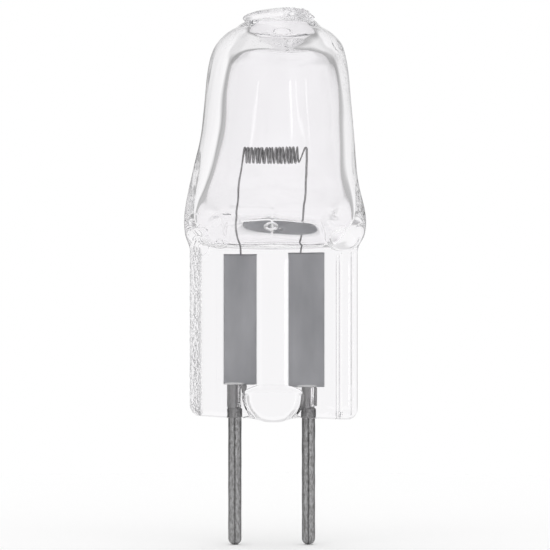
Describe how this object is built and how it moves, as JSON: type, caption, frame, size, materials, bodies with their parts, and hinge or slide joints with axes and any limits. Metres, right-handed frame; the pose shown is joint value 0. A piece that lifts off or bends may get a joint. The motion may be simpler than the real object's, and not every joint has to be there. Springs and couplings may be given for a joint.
{
  "type": "halogen capsule bulb",
  "caption": "Small clear quartz halogen capsule with a pinched seal, a coiled filament, foil strips and a pair of stiff pins.",
  "frame": {"origin": "midway between the pins' axes, level with the lowest point of the boss on the pinch seal", "axes": "+Z along the bulb towards the exhaust tip, X from the left pin to the right pin, -Y towards the faces of the foils that show"},
  "size_m": [0.0099, 0.008, 0.0292],
  "materials": {
    "quartz": "clear fused quartz, fire-polished, with press marks on the seal",
    "tungsten": "dull grey drawn wire",
    "foil": "matt grey rolled foil",
    "pin": "dull grey drawn rod with lengthwise marks"
  },
  "bodies": {
    "root": {"envelope": "quartz", "filament": "tungsten", "foil_left": "foil", "foil_right": "foil", "pin_left": "pin", "pin_right": "pin"}
  },
  "joints": []
}
